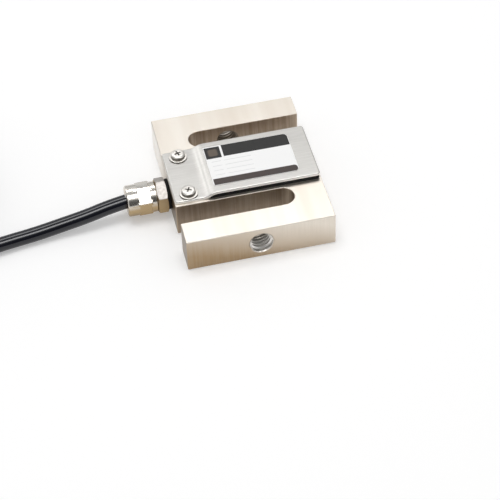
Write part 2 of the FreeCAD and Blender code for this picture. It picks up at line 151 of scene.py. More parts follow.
class Signal:
    """A socket of a material that takes part in sums."""

    def __init__(self, finish, socket):
        self.finish = finish
        self.socket = socket

    def maths(self, operation, left, right=0.0, clamp=False):
        settings = {"operation": operation, "use_clamp": clamp}
        return self.finish.node("ShaderNodeMath", settings, {0: left, 1: right})

    def __add__(self, other):
        return self.maths("ADD", self, other)

    def __radd__(self, other):
        return self.maths("ADD", other, self)

    def __sub__(self, other):
        return self.maths("SUBTRACT", self, other)

    def __rsub__(self, other):
        return self.maths("SUBTRACT", other, self)

    def __mul__(self, other):
        return self.maths("MULTIPLY", self, other)

    def __rmul__(self, other):
        return self.maths("MULTIPLY", other, self)

    def __truediv__(self, other):
        return self.maths("DIVIDE", self, other)

    def __rtruediv__(self, other):
        return self.maths("DIVIDE", other, self)

    def __pow__(self, other):
        return self.maths("POWER", self, other)

    def __gt__(self, other):
        return self.maths("GREATER_THAN", self, other)

    def __lt__(self, other):
        return self.maths("LESS_THAN", self, other)

    def __abs__(self):
        return self.maths("ABSOLUTE", self)

    def at_least(self, other):
        return self.maths("MAXIMUM", self, other)

    def clamped(self):
        return self.maths("ADD", self, 0.0, clamp=True)

    def ramped(self, start, end):
        """0 up to start, 1 from end on, and a straight ramp between them."""
        return ((self - start) / (end - start)).clamped()


class Wiring:
    """A node tree and the few things that it is wired with."""

    def __init__(self, tree):
        self.tree = tree

    def node(self, kind, settings=None, sockets=None, out=0):
        made = self.tree.nodes.new(kind)
        for name, value in (settings or {}).items():
            setattr(made, name, value)
        for name, value in (sockets or {}).items():
            self.feed(made.inputs[name], value)
        return Signal(self, made.outputs[out])

    def feed(self, socket, value):
        if isinstance(value, Signal):
            self.tree.links.new(value.socket, socket)
        elif isinstance(value, tuple) and len(value) == 3 and socket.type == "RGBA":
            socket.default_value = (*value, 1.0)
        else:
            socket.default_value = value

    def axes(self, place):
        """x, y and z of a vector, as three signals."""
        split = self.node("ShaderNodeSeparateXYZ", sockets={0: place})
        outputs = split.socket.node.outputs
        return [Signal(self, output) for output in outputs]

    def rays(self, *kinds):
        """1 for rays of any of the kinds."""
        outputs = self.node("ShaderNodeLightPath").socket.node.outputs
        total = Signal(self, outputs[kinds[0]])
        for kind in kinds[1:]:
            total = total + Signal(self, outputs[kind])
        return total.clamped()


class Finish(Wiring):
    """A material and the patterns that it is made with."""

    def __init__(self, name, **constants):
        self.material = bpy.data.materials.new(name)
        self.material.use_nodes = True
        super().__init__(self.material.node_tree)
        self.shader = self.tree.nodes["Principled BSDF"]
        for socket, value in constants.items():
            self.shader.inputs[socket.replace("_", " ")].default_value = value
        self.place = self.node("ShaderNodeTexCoord", out="Object")

    def stretched(self, scale):
        """The place multiplied by its own scale along each axis."""
        return self.node("ShaderNodeVectorMath", {"operation": "MULTIPLY"}, {0: self.place, 1: scale})

    def upwards(self):
        """How far the surface faces up: 1 for a level top, -1 for an underside."""
        return self.facing(2)

    def facing(self, axis):
        """How far the surface faces along an axis, from -1 to 1."""
        return self.axes(self.node("ShaderNodeTexCoord", out="Normal"))[axis]

    def grain(self, scale, detail=3.0, roughness=0.55):
        """Soft noise from 0 to 1, with its scale in lumps a metre, the same or one along each axis."""
        vector = self.stretched(scale if isinstance(scale, tuple) else (scale,) * 3)
        sockets = {"Vector": vector, "Scale": 1.0, "Detail": detail, "Roughness": roughness}
        return self.node("ShaderNodeTexNoise", {"noise_dimensions": "3D"}, sockets)

    def mixed(self, factor, first, second):
        """A colour that goes from the first to the second with the factor."""
        settings = {"data_type": "RGBA", "clamp_factor": True}
        return self.node("ShaderNodeMix", settings, {0: factor, 6: first, 7: second}, out=2)

    def colour(self, value):
        self.feed(self.shader.inputs["Base Color"], value)

    def rough(self, value):
        self.feed(self.shader.inputs["Roughness"], value)

    def relief(self, height, strength, distance=0.02 * MM):
        sockets = {"Strength": strength, "Distance": distance, "Height": height}
        bump = self.node("ShaderNodeBump", sockets=sockets)
        self.feed(self.shader.inputs["Normal"], bump)


def inside(value, low, high, soft=0.05 * MM):
    """1 where a value lies between two limits, with a soft edge."""
    return (value - low).ramped(-soft, soft) * (high - value).ramped(-soft, soft)


def inside_rounded(across, along, low, high, corner, soft=0.05 * MM):
    """1 inside a rectangle with rounded corners."""
    centre = [(a + b) / 2 for a, b in zip(low, high)]
    half = [(b - a) / 2 - corner for a, b in zip(low, high)]
    reach_x = (abs(across - centre[0]) - half[0]).at_least(0.0)
    reach_y = (abs(along - centre[1]) - half[1]).at_least(0.0)
    distance = (reach_x * reach_x + reach_y * reach_y) ** 0.5
    return (corner - distance).ramped(-soft, soft)


# ---------------------------------------------------------------- bench helpers


def fresh():
    """Nothing selected, ready for the next primitive."""
    bpy.ops.object.select_all(action="DESELECT")


def named(name):
    """The new primitive, with its place in its mesh and its own name."""
    piece = bpy.context.object
    piece.name = name
    piece.data.name = name
    bpy.ops.object.transform_apply(location=True, rotation=True, scale=True)
    return piece


def edit(piece):
    """Opens a piece in edit mode with nothing selected."""
    fresh()
    piece.select_set(True)
    bpy.context.view_layer.objects.active = piece
    bpy.ops.object.mode_set(mode="EDIT")
    bpy.ops.mesh.select_all(action="DESELECT")


def close():
    bpy.ops.object.mode_set(mode="OBJECT")


def pick(piece, kind, test):
    """Selects the vertices, edges or faces of an open piece that pass a test."""
    bpy.ops.mesh.select_mode(type=kind)
    bpy.ops.mesh.select_all(action="DESELECT")
    mesh = bmesh.from_edit_mesh(piece.data)
    items = {"VERT": mesh.verts, "EDGE": mesh.edges, "FACE": mesh.faces}[kind]
    for item in items:
        item.select_set(bool(test(item)))
    bmesh.update_edit_mesh(piece.data)


def pick_all():
    """Selects the whole of an open piece."""
    bpy.ops.mesh.select_all(action="SELECT")


def middle(edge):
    """The middle of an edge."""
    return (edge.verts[0].co + edge.verts[1].co) / 2


def grow(x, y, z):
    """Extrudes the picked faces of an open piece."""
    bpy.ops.mesh.extrude_region_move(TRANSFORM_OT_translate={"value": (x, y, z)})


def roll(offset, segments, profile=0.5):
    """Rounds the picked edges of an open piece."""
    bpy.ops.mesh.bevel(offset=offset, segments=segments, profile=profile, affect="EDGES")


def stretch(centre, *shares):
    """Scales the picked part of an open piece about a centre, by a share along each axis."""
    bpy.ops.transform.resize(value=shares, center_override=centre)


def apply(piece, kind, **settings):
    """Adds a modifier and applies it."""
    modifier = piece.modifiers.new(kind.lower(), kind)
    for name, value in settings.items():
        setattr(modifier, name, value)
    fresh()
    piece.select_set(True)
    bpy.context.view_layer.objects.active = piece
    bpy.ops.object.modifier_apply(modifier=modifier.name)


def cut(piece, cutter):
    """Takes a cutter's volume out of a piece."""
    apply(piece, "BOOLEAN", operation="DIFFERENCE", solver="EXACT", object=cutter)
    bpy.data.objects.remove(cutter)


def smooth(piece, angle):
    """Smooth shading across edges flatter than an angle, with the large faces kept flat."""
    fresh()
    piece.select_set(True)
    bpy.context.view_layer.objects.active = piece
    bpy.ops.object.shade_smooth_by_angle(angle=math.radians(angle))
    apply(piece, "WEIGHTED_NORMAL", weight=80, keep_sharp=True)


def copied(piece, name):
    """A copy of a piece with its own mesh."""
    twin = piece.copy()
    twin.data = piece.data.copy()
    twin.name = name
    twin.data.name = name
    scene.collection.objects.link(twin)
    return twin


def from_node(node_name, name):
    """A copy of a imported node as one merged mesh, its flat faces whole."""
    piece = copied(nodes[node_name], name)
    piece.parent = None
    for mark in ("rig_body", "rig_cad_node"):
        if mark in piece:
            del piece[mark]
    edit(piece)
    pick_all()
    bpy.ops.mesh.remove_doubles(threshold=0.001 * MM)
    bpy.ops.mesh.dissolve_limited(angle_limit=math.radians(1.0))
    close()
    return piece


def fit(piece, finishes, slot, *replaced, finish=None):
    """Gives a finished piece its material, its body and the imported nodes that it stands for."""
    wear(piece, finishes[finish or slot])
    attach(piece, "root")
    if replaced:
        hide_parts(*replaced)


# ---------------------------------------------------------------- finishes


def nickel_plated_steel():
    """Ground and plated beam: warm white front, sides with a painted brown-to-light reflection and painted
    shade near the gland, slots brown from milling and from painted shade, and bores with painted shade
    deeper in.
    """
    finish = Finish("nickel_plated_steel", Metallic=1.0)
    x, y, z = finish.axes(finish.place)
    marks = finish.grain((2600.0, 35.0, 35.0), detail=4.0)
    bands = finish.grain((140.0, 6.0, 6.0), detail=2.0)
    cloud = finish.grain(45.0)
    plate = finish.mixed(bands.ramped(0.35, 0.65), (0.68, 0.625, 0.555), (0.75, 0.71, 0.65))
    plate = finish.mixed(cloud.ramped(0.3, 0.75) * 0.3, plate, (0.68, 0.61, 0.53))
    side_marks = finish.grain((1900.0, 1900.0, 60.0), detail=4.0)
    # Painted reflection on the side faces: brown towards the lower left, light towards the right.
    reflection_slope = (x * 17.0 + (z - BORE_HEIGHT) * 55.0 + cloud * 0.3 + 0.28).clamped()
    side = finish.mixed(reflection_slope, (0.355, 0.245, 0.135), (0.77, 0.71, 0.63))
    side = finish.mixed(side_marks.ramped(0.3, 0.7) * 0.25, side, (0.55, 0.49, 0.41))
    # Left end face: a painted reflection, light at its far end and brown nearer, and a painted shadow at its
    # near end by the gland.
    left_face = (0.0 - finish.facing(0)).ramped(0.8, 0.95)
    near = (12.0 * MM - y).ramped(0.0, 22.0 * MM)
    left = finish.mixed(y.ramped(-6.0 * MM, 20.0 * MM), (0.40, 0.325, 0.235), (0.80, 0.765, 0.715))
    left = finish.mixed(near * 0.8, left, (0.15, 0.11, 0.072))
    side = finish.mixed(left_face, side, left)
    plate = finish.mixed(abs(finish.upwards()).ramped(0.35, 0.55), side, plate)
    tool_marks = finish.grain((1500.0, 1500.0, 45.0), roughness=0.65)
    # Slot walls: brown partly from milling and partly painted shade, with more painted shade on the lower
    # slot's walls.
    milled_and_shade = finish.mixed(tool_marks.ramped(0.3, 0.7), (0.32, 0.255, 0.195), (0.50, 0.415, 0.33))
    milled_and_shade = finish.mixed((0.0 - y).ramped(0.0, 20.0 * MM) * 0.6, milled_and_shade, (0.19, 0.145, 0.10))
    upper = (abs(y - SLOT_MIDDLE) < SLOT_HALF + TONE_REACH) * (x > -SLOT_END - TONE_REACH)
    lower = (abs(y + SLOT_MIDDLE) < SLOT_HALF + TONE_REACH) * (x < SLOT_END + TONE_REACH)
    upper_end = round_end(x + SLOT_END, y - SLOT_MIDDLE)
    lower_end = round_end(x - SLOT_END, y + SLOT_MIDDLE)
    slots = (upper + lower + upper_end + lower_end).clamped()
    bores = round_end(x, z - BORE_HEIGHT) * (abs(y) > SLOT_WALL + 0.02 * MM)
    colour = finish.mixed(slots, plate, milled_and_shade)
    # The bores take a painted shade, darker further in.
    finish.colour(finish.mixed(bores, colour, bore_shade(finish, y)))
    finish.rough(marks * 0.16 + cloud * 0.06 + slots * tool_marks * 0.15 + 0.24)
    finish.relief(marks, 0.10)
    return finish.material


def bore_shade(finish, y):
    """Silver at a load thread's mouth and darker further in, a painted shade that reaches further into the
    upper one.
    """
    # Noise that roughens the edge of the painted shade.
    shade_jitter = finish.grain(500.0, detail=2.0)
    reach = abs(y) - (y > 0.0) * 3.5 * MM
    bright = (reach + shade_jitter * 1.5 * MM).ramped(24.0 * MM, 28.5 * MM)
    return finish.mixed(bright, (0.20, 0.17, 0.135), (0.76, 0.74, 0.71))


def cut_thread():
    """Cut flanks of the load threads, silver at the mouth and with painted shade further in."""
    finish = Finish("cut_thread", Metallic=1.0)
    rings = finish.grain((30.0, 2600.0, 30.0))
    finish.colour(bore_shade(finish, finish.axes(finish.place)[1]))
    finish.rough(rings * 0.15 + 0.30)
    finish.relief(rings, 0.15)
    return finish.material


def round_end(across, along):
    """1 within the round end of a slot or a tapped hole, both 8 mm across."""
    return ((across * across + along * along) ** 0.5) < SLOT_HALF + 0.08 * MM


def brushed_stainless():
    """Cover sheet: cool light grey, short brush marks along its length, its sheared edges duller and
    lightened by a painted highlight.
    """
    finish = Finish("brushed_stainless", Metallic=1.0)
    brush = finish.grain((110.0, 4200.0, 900.0), detail=5.0, roughness=0.65)
    cloud = finish.grain(60.0, detail=2.0)
    # Painted highlight: faces that turn away from the top are lightened nearly to white; their higher
    # roughness is the sheared edge's own.
    edge = (1.0 - finish.upwards()).ramped(0.45, 0.75)
    sheet = finish.mixed(brush.ramped(0.3, 0.7), (0.45, 0.44, 0.42), (0.54, 0.53, 0.51))
    finish.colour(finish.mixed(edge, sheet, (0.94, 0.92, 0.89)))
    finish.rough(brush * 0.18 + cloud * 0.06 + edge * 0.50 + 0.24)
    finish.relief(brush, 0.12)
    return finish.material


def black_rubber():
    """Moulded nitrile: near black, with a fine matt grain and a dusty bloom."""
    finish = Finish("black_rubber", Specular_IOR_Level=0.15)
    grain = finish.grain(2600.0)
    bloom = finish.grain(180.0)
    finish.colour(finish.mixed(bloom.ramped(0.35, 0.8), (0.005, 0.005, 0.005), (0.013, 0.012, 0.011)))
    finish.rough(grain * 0.2 + 0.6)
    finish.relief(grain, 0.12)
    return finish.material


def label_film():
    """Printed film: white field, black band, square and bar, and faint ruled entries."""
    finish = Finish("label_film", Specular_IOR_Level=0.3)
    x, y = finish.axes(finish.place)[:2]
    square = inside_rounded(x, y, *LABEL_SQUARE, 0.15 * MM)
    band = inside_rounded(x, y, *LABEL_BAND, 1.5 * MM)
    band = band * inside(x, -4.85 * MM, 19.0 * MM) * inside(y, 3.93 * MM, 9.7 * MM)
    bar = inside_rounded(x, y, *LABEL_BAR, 1.2 * MM) * inside(x, -10.9 * MM, 19.0 * MM)
    printed = (square + band + bar).clamped()
    rules = 0.0
    for row in LABEL_RULES:
        rules = rules + inside(y - row, -RULE_HALF, RULE_HALF)
    entries = rules * (inside(x, -9.6 * MM, -6.3 * MM) + inside(x, -5.2 * MM, 4.2 * MM))
    speck = finish.grain(1500.0, detail=2.0)
    paper = finish.mixed(speck, (0.95, 0.95, 0.945), (0.99, 0.99, 0.985))
    paper = finish.mixed(entries.clamped() * 0.45, paper, (0.45, 0.46, 0.47))
    ink = finish.mixed(speck, (0.011, 0.011, 0.011), (0.022, 0.021, 0.020))
    patch = inside_rounded(x, y, *LABEL_PATCH, 0.8 * MM, 0.3 * MM)
    ink = finish.mixed(patch * 0.7, ink, (0.16, 0.125, 0.095))
    ink = finish.mixed(bar * 0.6, ink, (0.085, 0.062, 0.055))
    finish.colour(finish.mixed(printed, paper, ink))
    finish.rough(speck * 0.1 + 0.32)
    finish.relief(speck, 0.05)
    return finish.material


def plated_screw_steel():
    """Bright zinc on small fasteners, with a slight mottle, and painted shade in the recesses and round the
    sides.
    """
    finish = Finish("plated_screw_steel", Metallic=1.0)
    x, y, z = finish.axes(finish.place)
    across = x - SCREW_PLACES[0][0]
    along = abs(y) - SCREW_PLACES[1][1]
    near_axis = (across * across + along * along) ** 0.5 < RECESS_REACH + 0.03 * MM
    recess = near_axis * (z < FLANGE_TOP + FLAT_WASHER + SCREW_HEAD_HEIGHT - 0.02 * MM)
    mottle = finish.grain(900.0)
    zinc = finish.mixed(mottle.ramped(0.3, 0.7), (0.58, 0.555, 0.52), (0.72, 0.70, 0.665))
    # Painted shade: dark in the cross recesses and on faces that turn sideways or down.
    painted_shade = (recess * 0.85 + (0.45 - finish.upwards()).ramped(0.0, 0.25)).clamped()
    finish.colour(finish.mixed(painted_shade, zinc, (0.20, 0.185, 0.165)))
    finish.rough(mottle * 0.14 + 0.30)
    finish.relief(mottle, 0.08)
    return finish.material


def nickel_plated_brass():
    """Gland: bright nickel over turned brass, a painted warm reflection on its downward faces, its hexagon
    body sand-blasted.
    """
    finish = Finish("nickel_plated_brass", Metallic=1.0)
    x = finish.axes(finish.place)[0]
    rings = finish.grain((3200.0, 20.0, 20.0))
    grain = finish.grain(1100.0)
    cloud = finish.grain(150.0, detail=2.0)
    blasted = inside(x, GLAND_FACE - BODY_HEX - 0.05 * MM, GLAND_FACE + 0.1 * MM)
    plate = finish.mixed(cloud.ramped(0.3, 0.7), (0.66, 0.62, 0.56), (0.74, 0.71, 0.66))
    sand = finish.mixed(grain.ramped(0.35, 0.65), (0.335, 0.315, 0.295), (0.46, 0.435, 0.415))
    plate = finish.mixed(blasted, plate, sand)
    # Painted reflection: faces that turn downwards take a warm brown.
    under = (0.0 - finish.upwards() + cloud * 0.1).ramped(-0.35, 0.05)
    finish.colour(finish.mixed(under, plate, (0.44, 0.325, 0.185)))
    finish.rough(rings * 0.10 + grain * 0.10 + blasted * 0.30 + 0.10)
    finish.relief(rings * 0.4 + grain * (blasted * 1.85 + 0.15), 0.12)
    return finish.material


def bare_brass():
    """Turned brass thrust ring."""
    finish = Finish("bare_brass", Metallic=1.0)
    rings = finish.grain((3000.0, 30.0, 30.0))
    finish.colour(finish.mixed(rings.ramped(0.3, 0.7), (0.62, 0.44, 0.20), (0.74, 0.56, 0.30)))
    finish.rough(rings * 0.15 + 0.2)
    return finish.material


def cable_jacket():
    """Glossy black PVC with slight waviness and scuffs."""
    finish = Finish("cable_jacket", Specular_IOR_Level=0.55)
    waves = finish.grain(70.0, detail=2.0)
    skin = finish.grain(1500.0)
    finish.colour(finish.mixed(waves.ramped(0.3, 0.75), (0.002, 0.0025, 0.006), (0.005, 0.006, 0.013)))
    finish.rough(skin * 0.06 + waves * 0.05 + 0.08)
    finish.relief(waves + skin * 0.05, 0.10, 0.25 * MM)
    return finish.material


def tie_plastic():
    """Black nylon of the coil's ties."""
    finish = Finish("tie_plastic")
    grain = finish.grain(1400.0, detail=2.0)
    finish.colour(finish.mixed(grain, (0.016, 0.016, 0.017), (0.03, 0.03, 0.031)))
    finish.rough(grain * 0.2 + 0.38)
    finish.relief(grain, 0.1)
    return finish.material


def core_insulation(name, dark, light):
    """PVC on a core, in its colour, with slight handling marks."""
    finish = Finish(name)
    marks = finish.grain(700.0)
    finish.colour(finish.mixed(marks.ramped(0.3, 0.75), dark, light))
    finish.rough(marks * 0.2 + 0.34)
    finish.relief(marks, 0.08, 0.03 * MM)
    return finish.material


def shield_copper():
    """Tinned copper of the shield's strands and the cores' tips."""
    finish = Finish("shield_copper", Metallic=1.0)
    strands = finish.grain((2400.0, 2400.0, 1200.0))
    finish.colour(finish.mixed(strands.ramped(0.35, 0.65), (0.52, 0.46, 0.39), (0.78, 0.73, 0.66)))
    finish.rough(strands * 0.2 + 0.3)
    finish.relief(strands, 0.5, 0.06 * MM)
    return finish.material


def enamelled_copper():
    """Lead wire of the gauges under clear enamel."""
    finish = Finish("enamelled_copper", Metallic=0.9)
    marks = finish.grain(1500.0, detail=2.0)
    finish.colour(finish.mixed(marks, (0.50, 0.22, 0.10), (0.62, 0.30, 0.15)))
    finish.rough(marks * 0.2 + 0.25)
    return finish.material


def gauge_film():
    """Amber polyimide with the darker foil grid under it."""
    finish = Finish("gauge_film")
    z = finish.axes(finish.place)[2]
    line = finish.node("ShaderNodeMath", {"operation": "SINE"}, {0: z * 5200.0})
    grid = line.ramped(-0.15, 0.15) * inside(z, 4.9 * MM, 8.5 * MM)
    finish.colour(finish.mixed(grid * 0.8, (0.42, 0.20, 0.045), (0.30, 0.27, 0.22)))
    finish.rough(grid * 0.15 + 0.3)
    return finish.material


def circuit_board():
    """Green glass epoxy with a faint weave."""
    finish = Finish("circuit_board", Coat_Weight=0.2, Coat_Roughness=0.2)
    weave = finish.grain((2200.0, 350.0, 350.0), detail=2.0) * 0.5
    weave = weave + finish.grain((350.0, 2200.0, 350.0), detail=2.0) * 0.5
    finish.colour(finish.mixed(weave.ramped(0.35, 0.65), (0.010, 0.085, 0.035), (0.018, 0.13, 0.055)))
    finish.rough(weave * 0.15 + 0.3)
    return finish.material


def solder():
    """Bright tin-lead fillets."""
    finish = Finish("solder", Metallic=1.0)
    skin = finish.grain(1800.0)
    finish.colour(finish.mixed(skin, (0.60, 0.60, 0.60), (0.76, 0.76, 0.76)))
    finish.rough(skin * 0.2 + 0.2)
    finish.relief(skin, 0.15, 0.03 * MM)
    return finish.material


def resistor_ceramic():
    """Blue-grey trimming resistors with tinned ends."""
    finish = Finish("resistor_ceramic")
    grain = finish.grain(2000.0, detail=2.0)
    finish.colour(finish.mixed(grain, (0.05, 0.07, 0.11), (0.09, 0.12, 0.18)))
    finish.rough(grain * 0.2 + 0.4)
    return finish.material


def make_finishes():
    """Every finish by the name of its slot, and the cut threads' own."""
    return {
        "nickel_plated_steel": nickel_plated_steel(),
        "cut_thread": cut_thread(),
        "brushed_stainless": brushed_stainless(),
        "black_rubber": black_rubber(),
        "label_film": label_film(),
        "plated_screw_steel": plated_screw_steel(),
        "nickel_plated_brass": nickel_plated_brass(),
        "bare_brass": bare_brass(),
        "cable_jacket": cable_jacket(),
        "tie_plastic": tie_plastic(),
        "core_red": core_insulation("core_red", (0.42, 0.012, 0.012), (0.55, 0.03, 0.025)),
        "core_green": core_insulation("core_green", (0.01, 0.16, 0.04), (0.025, 0.26, 0.08)),
        "core_black": core_insulation("core_black", (0.012, 0.012, 0.013), (0.03, 0.03, 0.032)),
        "core_white": core_insulation("core_white", (0.70, 0.70, 0.68), (0.82, 0.82, 0.80)),
        "shield_copper": shield_copper(),
        "enamelled_copper": enamelled_copper(),
        "gauge_film": gauge_film(),
        "circuit_board": circuit_board(),
        "solder": solder(),
        "resistor_ceramic": resistor_ceramic(),
    }


def node_finish(name):
    """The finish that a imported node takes."""
    named = {
        "elastic_body": "nickel_plated_steel",
        "cover_plate": "brushed_stainless",
        "cover_seal": "black_rubber",
        "gland_sealing_washer": "black_rubber",
        "gland_bush": "black_rubber",
        "rating_label": "label_film",
        "cover_screws": "plated_screw_steel",
        "flat_washers": "plated_screw_steel",
        "terminal_board": "circuit_board",
        "solder_joints": "solder",
        "trim_resistors": "resistor_ceramic",
        "cable_tail": "cable_jacket",
        "signal_cable": "cable_jacket",
        "cable_coil": "cable_jacket",
        "gland_body": "nickel_plated_brass",
        "gland_cap_nut": "nickel_plated_brass",
        "gland_thrust_ring": "bare_brass",
        "cable_tie_near": "tie_plastic",
        "cable_tie_far": "tie_plastic",
        "end_shield": "shield_copper",
    }
    if name in named:
        return named[name]
    if name.startswith("strain_gauge"):
        return "gauge_film"
    if name.startswith("gauge_leads"):
        return "enamelled_copper"
    return "core_" + name.rsplit("_", 1)[1]


def wear(piece, material):
    """Gives a piece one material in every slot."""
    if not piece.data.materials:
        piece.data.materials.append(material)
    for index in range(len(piece.data.materials)):
        piece.data.materials[index] = material


# ---------------------------------------------------------------- beam

THREAD_ROOT = 4.0 * MM
THREAD_CREST = 3.4 * MM
THREAD_PITCH = 1.25 * MM
THREAD_STEPS = 36
THREAD_START = 0.36 * MM
DRILL_MIDDLE = 26.4 * MM
DRILL_LENGTH = 11.0 * MM

# The thread's ridge: a 1 mm square stretched to its section, its crest narrowed
RIDGE_SQUARE = 1.0 * MM
RIDGE_MIDDLE = 3.72 * MM
RIDGE_STRETCH = (0.64, 1.18, 1.0)
CREST_STRETCH = (1.0, 0.32, 1.0)
RIDGE_HALF = 0.6 * MM


def tap_drill(side):
    """Cutter that opens one tapped hole to the thread's root."""
    fresh()
    bpy.ops.mesh.primitive_cylinder_add(
        vertices=72,
        radius=THREAD_ROOT,
        depth=DRILL_LENGTH,
        location=(0.0, side * DRILL_MIDDLE, BORE_HEIGHT),
        rotation=(math.pi / 2, 0.0, 0.0),
    )
    return named("tap_drill")


def thread(name, low, high):
    """Helical ridge of an internal thread between two places along Y."""
    fresh()
    place = (RIDGE_MIDDLE, 0.0, 0.0)
    bpy.ops.mesh.primitive_plane_add(size=RIDGE_SQUARE, location=place)
    ridge = named(name)
    edit(ridge)
    pick_all()
    stretch(place, *RIDGE_STRETCH)
    pick(ridge, "VERT", lambda vertex: vertex.co.x < RIDGE_MIDDLE)
    stretch((THREAD_CREST, 0.0, 0.0), *CREST_STRETCH)
    pick_all()
    bpy.ops.mesh.delete(type="ONLY_FACE")
    close()
    rise = high - low - 2 * RIDGE_HALF
    turns = rise / THREAD_PITCH
    steps = round(turns * THREAD_STEPS)
    apply(
        ridge,
        "SCREW",
        axis="Y",
        angle=-turns * 2 * math.pi,
        screw_offset=rise,
        steps=steps,
        render_steps=steps,
        use_merge_vertices=False,
    )
    edit(ridge)
    bpy.ops.mesh.select_mode(type="EDGE")
    bpy.ops.mesh.select_non_manifold()
    bpy.ops.mesh.edge_face_add()
    pick_all()
    bpy.ops.transform.translate(value=(0.0, low + RIDGE_HALF, BORE_HEIGHT))
    bpy.ops.mesh.normals_make_consistent(inside=False)
    close()
    return ridge


def steel_beam(finishes):
    """The slotted beam, its load threads cut through both arms."""
    beam = from_node("elastic_body", "steel_beam")
    for side in (-1, 1):
        cut(beam, tap_drill(side))
    smooth(beam, 30.0)
    fit(beam, finishes, "nickel_plated_steel", "elastic_body")
    lower = thread("lower_load_thread", -BEAM_END + THREAD_START, -SLOT_WALL)
    upper = thread("upper_load_thread", SLOT_WALL, BEAM_END - THREAD_START)
    for ridge in (lower, upper):
        smooth(ridge, 25.0)
        fit(ridge, finishes, "nickel_plated_steel", finish="cut_thread")


# ---------------------------------------------------------------- cover

MITRE = math.tan(math.atan2(COVER_RISE, JOGGLE_END - JOGGLE_START) / 2) * COVER_SHEET
SLACK = 0.1 * MM


def on_bend_top(vertex):
    """A test for the corners on the strip's top where it bends."""
    height = min(abs(vertex.co.z - top) for top in (FLANGE_TOP, FLANGE_TOP + COVER_RISE))
    return JOGGLE_START - SLACK < vertex.co.x < JOGGLE_END + SLACK and height < SLACK


def across_bend(edge):
    """A test for the edges that run across the strip where it bends."""
    place = middle(edge)
    return JOGGLE_START - SLACK - MITRE < place.x < JOGGLE_END + SLACK and abs(place.y) < SLACK


def corner_post(edge):
    """A test for the upright edges at the cover's four corners."""
    place = middle(edge)
    end = min(abs(place.x - COVER_LEFT), abs(place.x - COVER_RIGHT))
    return end < 0.01 * MM and abs(place.y) > COVER_WIDTH / 2 - 0.5 * MM


def outline(facing):
    """A test for the edges round the cover's top (facing 1) or underside (facing -1)."""

    def on_it(edge):
        heights = [face.normal.z * facing for face in edge.link_faces]
        return max(heights) > 0.3 and abs(min(heights, key=abs)) < 0.05

    return on_it


def bent_strip():
    """The cover's flange as a strip, grown up the joggle and along the raised part, with its mitres."""
    fresh()
    length = JOGGLE_START - COVER_LEFT
    place = (COVER_LEFT + length / 2, 0.0, FLANGE_TOP - COVER_SHEET / 2)
    bpy.ops.mesh.primitive_cube_add(size=COVER_SHEET, location=place)
    cover = named("joggled_cover")
    edit(cover)
    pick_all()
    stretch(place, length / COVER_SHEET, COVER_WIDTH / COVER_SHEET, 1.0)
    pick(cover, "FACE", lambda face: face.normal.x > 0.9)
    grow(JOGGLE_END - JOGGLE_START, 0.0, COVER_RISE)
    grow(COVER_RIGHT - JOGGLE_END, 0.0, 0.0)
    pick(cover, "VERT", on_bend_top)
    bpy.ops.transform.translate(value=(-MITRE, 0.0, 0.0))
    pick(cover, "EDGE", lambda edge: all(abs(face.normal.y) > 0.9 for face in edge.link_faces))
    bpy.ops.mesh.dissolve_edges(use_verts=False)
    return cover


def joggled_cover(finishes):
    """Cover sheet: the bent strip with its bends, corners and edges rolled and its screw holes cut."""
    cover = bent_strip()
    pick(cover, "EDGE", across_bend)
    roll(COVER_BEND, 8)
    pick(cover, "EDGE", corner_post)
    roll(COVER_CORNER, 8)
    pick(cover, "EDGE", outline(1))
    roll(COVER_EDGE, 5)
    pick(cover, "EDGE", outline(-1))
    roll(COVER_BURR, 1)
    close()
    for x, y in SCREW_PLACES:
        fresh()
        place = (x, y, FLANGE_TOP - COVER_SHEET / 2)
        bpy.ops.mesh.primitive_cylinder_add(vertices=48, radius=SCREW_WAY, depth=4.0 * MM, location=place)
        cut(cover, named("screw_way"))
    smooth(cover, 30.0)
    fit(cover, finishes, "brushed_stainless", "cover_plate")


# ---------------------------------------------------------------- fasteners

PUNCH_TIP = (0.45, 0.45, 1.0)
SHANK_TAPER = (0.65, 0.65, 1.0)


def disc(name, radius, low, high):
    """A disc about the origin's Z axis."""
    fresh()
    centre = (0.0, 0.0, (low + high) / 2)
    bpy.ops.mesh.primitive_cylinder_add(vertices=64, radius=radius, depth=high - low, location=centre)
    return named(name)


def break_edges(piece, width, segments, angle):
    """Rounds every edge of a piece that is sharper than an angle."""
    limit = math.radians(angle)
    apply(piece, "BEVEL", width=width, segments=segments, limit_method="ANGLE", angle_limit=limit)


def flat_washer():
    """Plain washer: a disc with its two ends inset and bridged through, its edges broken."""
    washer = disc("flat_washer_near", WASHER_RADIUS, FLANGE_TOP, FLANGE_TOP + FLAT_WASHER)
    edit(washer)
    pick(washer, "FACE", lambda face: abs(face.normal.z) > 0.9)
    bpy.ops.mesh.inset(thickness=WASHER_RADIUS - WASHER_BORE)
    bpy.ops.mesh.bridge_edge_loops()
    close()
    break_edges(washer, 0.12 * MM, 3, 50.0)
    return washer


def recess_cutter(top):
    """Cross punch: four arms grown from a small block, narrowed towards the tip."""
    fresh()
    low = top - RECESS_DEPTH
    high = top + 0.6 * MM
    place = (0.0, 0.0, (low + high) / 2)
    bpy.ops.mesh.primitive_cube_add(size=RECESS_ARM, location=place)
    punch = named("cross_punch")
    edit(punch)
    pick_all()
    stretch(place, 1.0, 1.0, (high - low) / RECESS_ARM)
    for direction in ((1, 0), (-1, 0), (0, 1), (0, -1)):
        way = Vector((*direction, 0.0))
        side = Vector(place) + way * RECESS_ARM / 2
        pick(punch, "FACE", lambda face: (face.calc_center_median() - side).length < 0.02 * MM)
        grow(*(way * (RECESS_REACH - RECESS_ARM / 2)))
    pick(punch, "VERT", lambda vertex: vertex.co.z < low + 0.05 * MM)
    stretch(place, *PUNCH_TIP)
    close()
    return punch


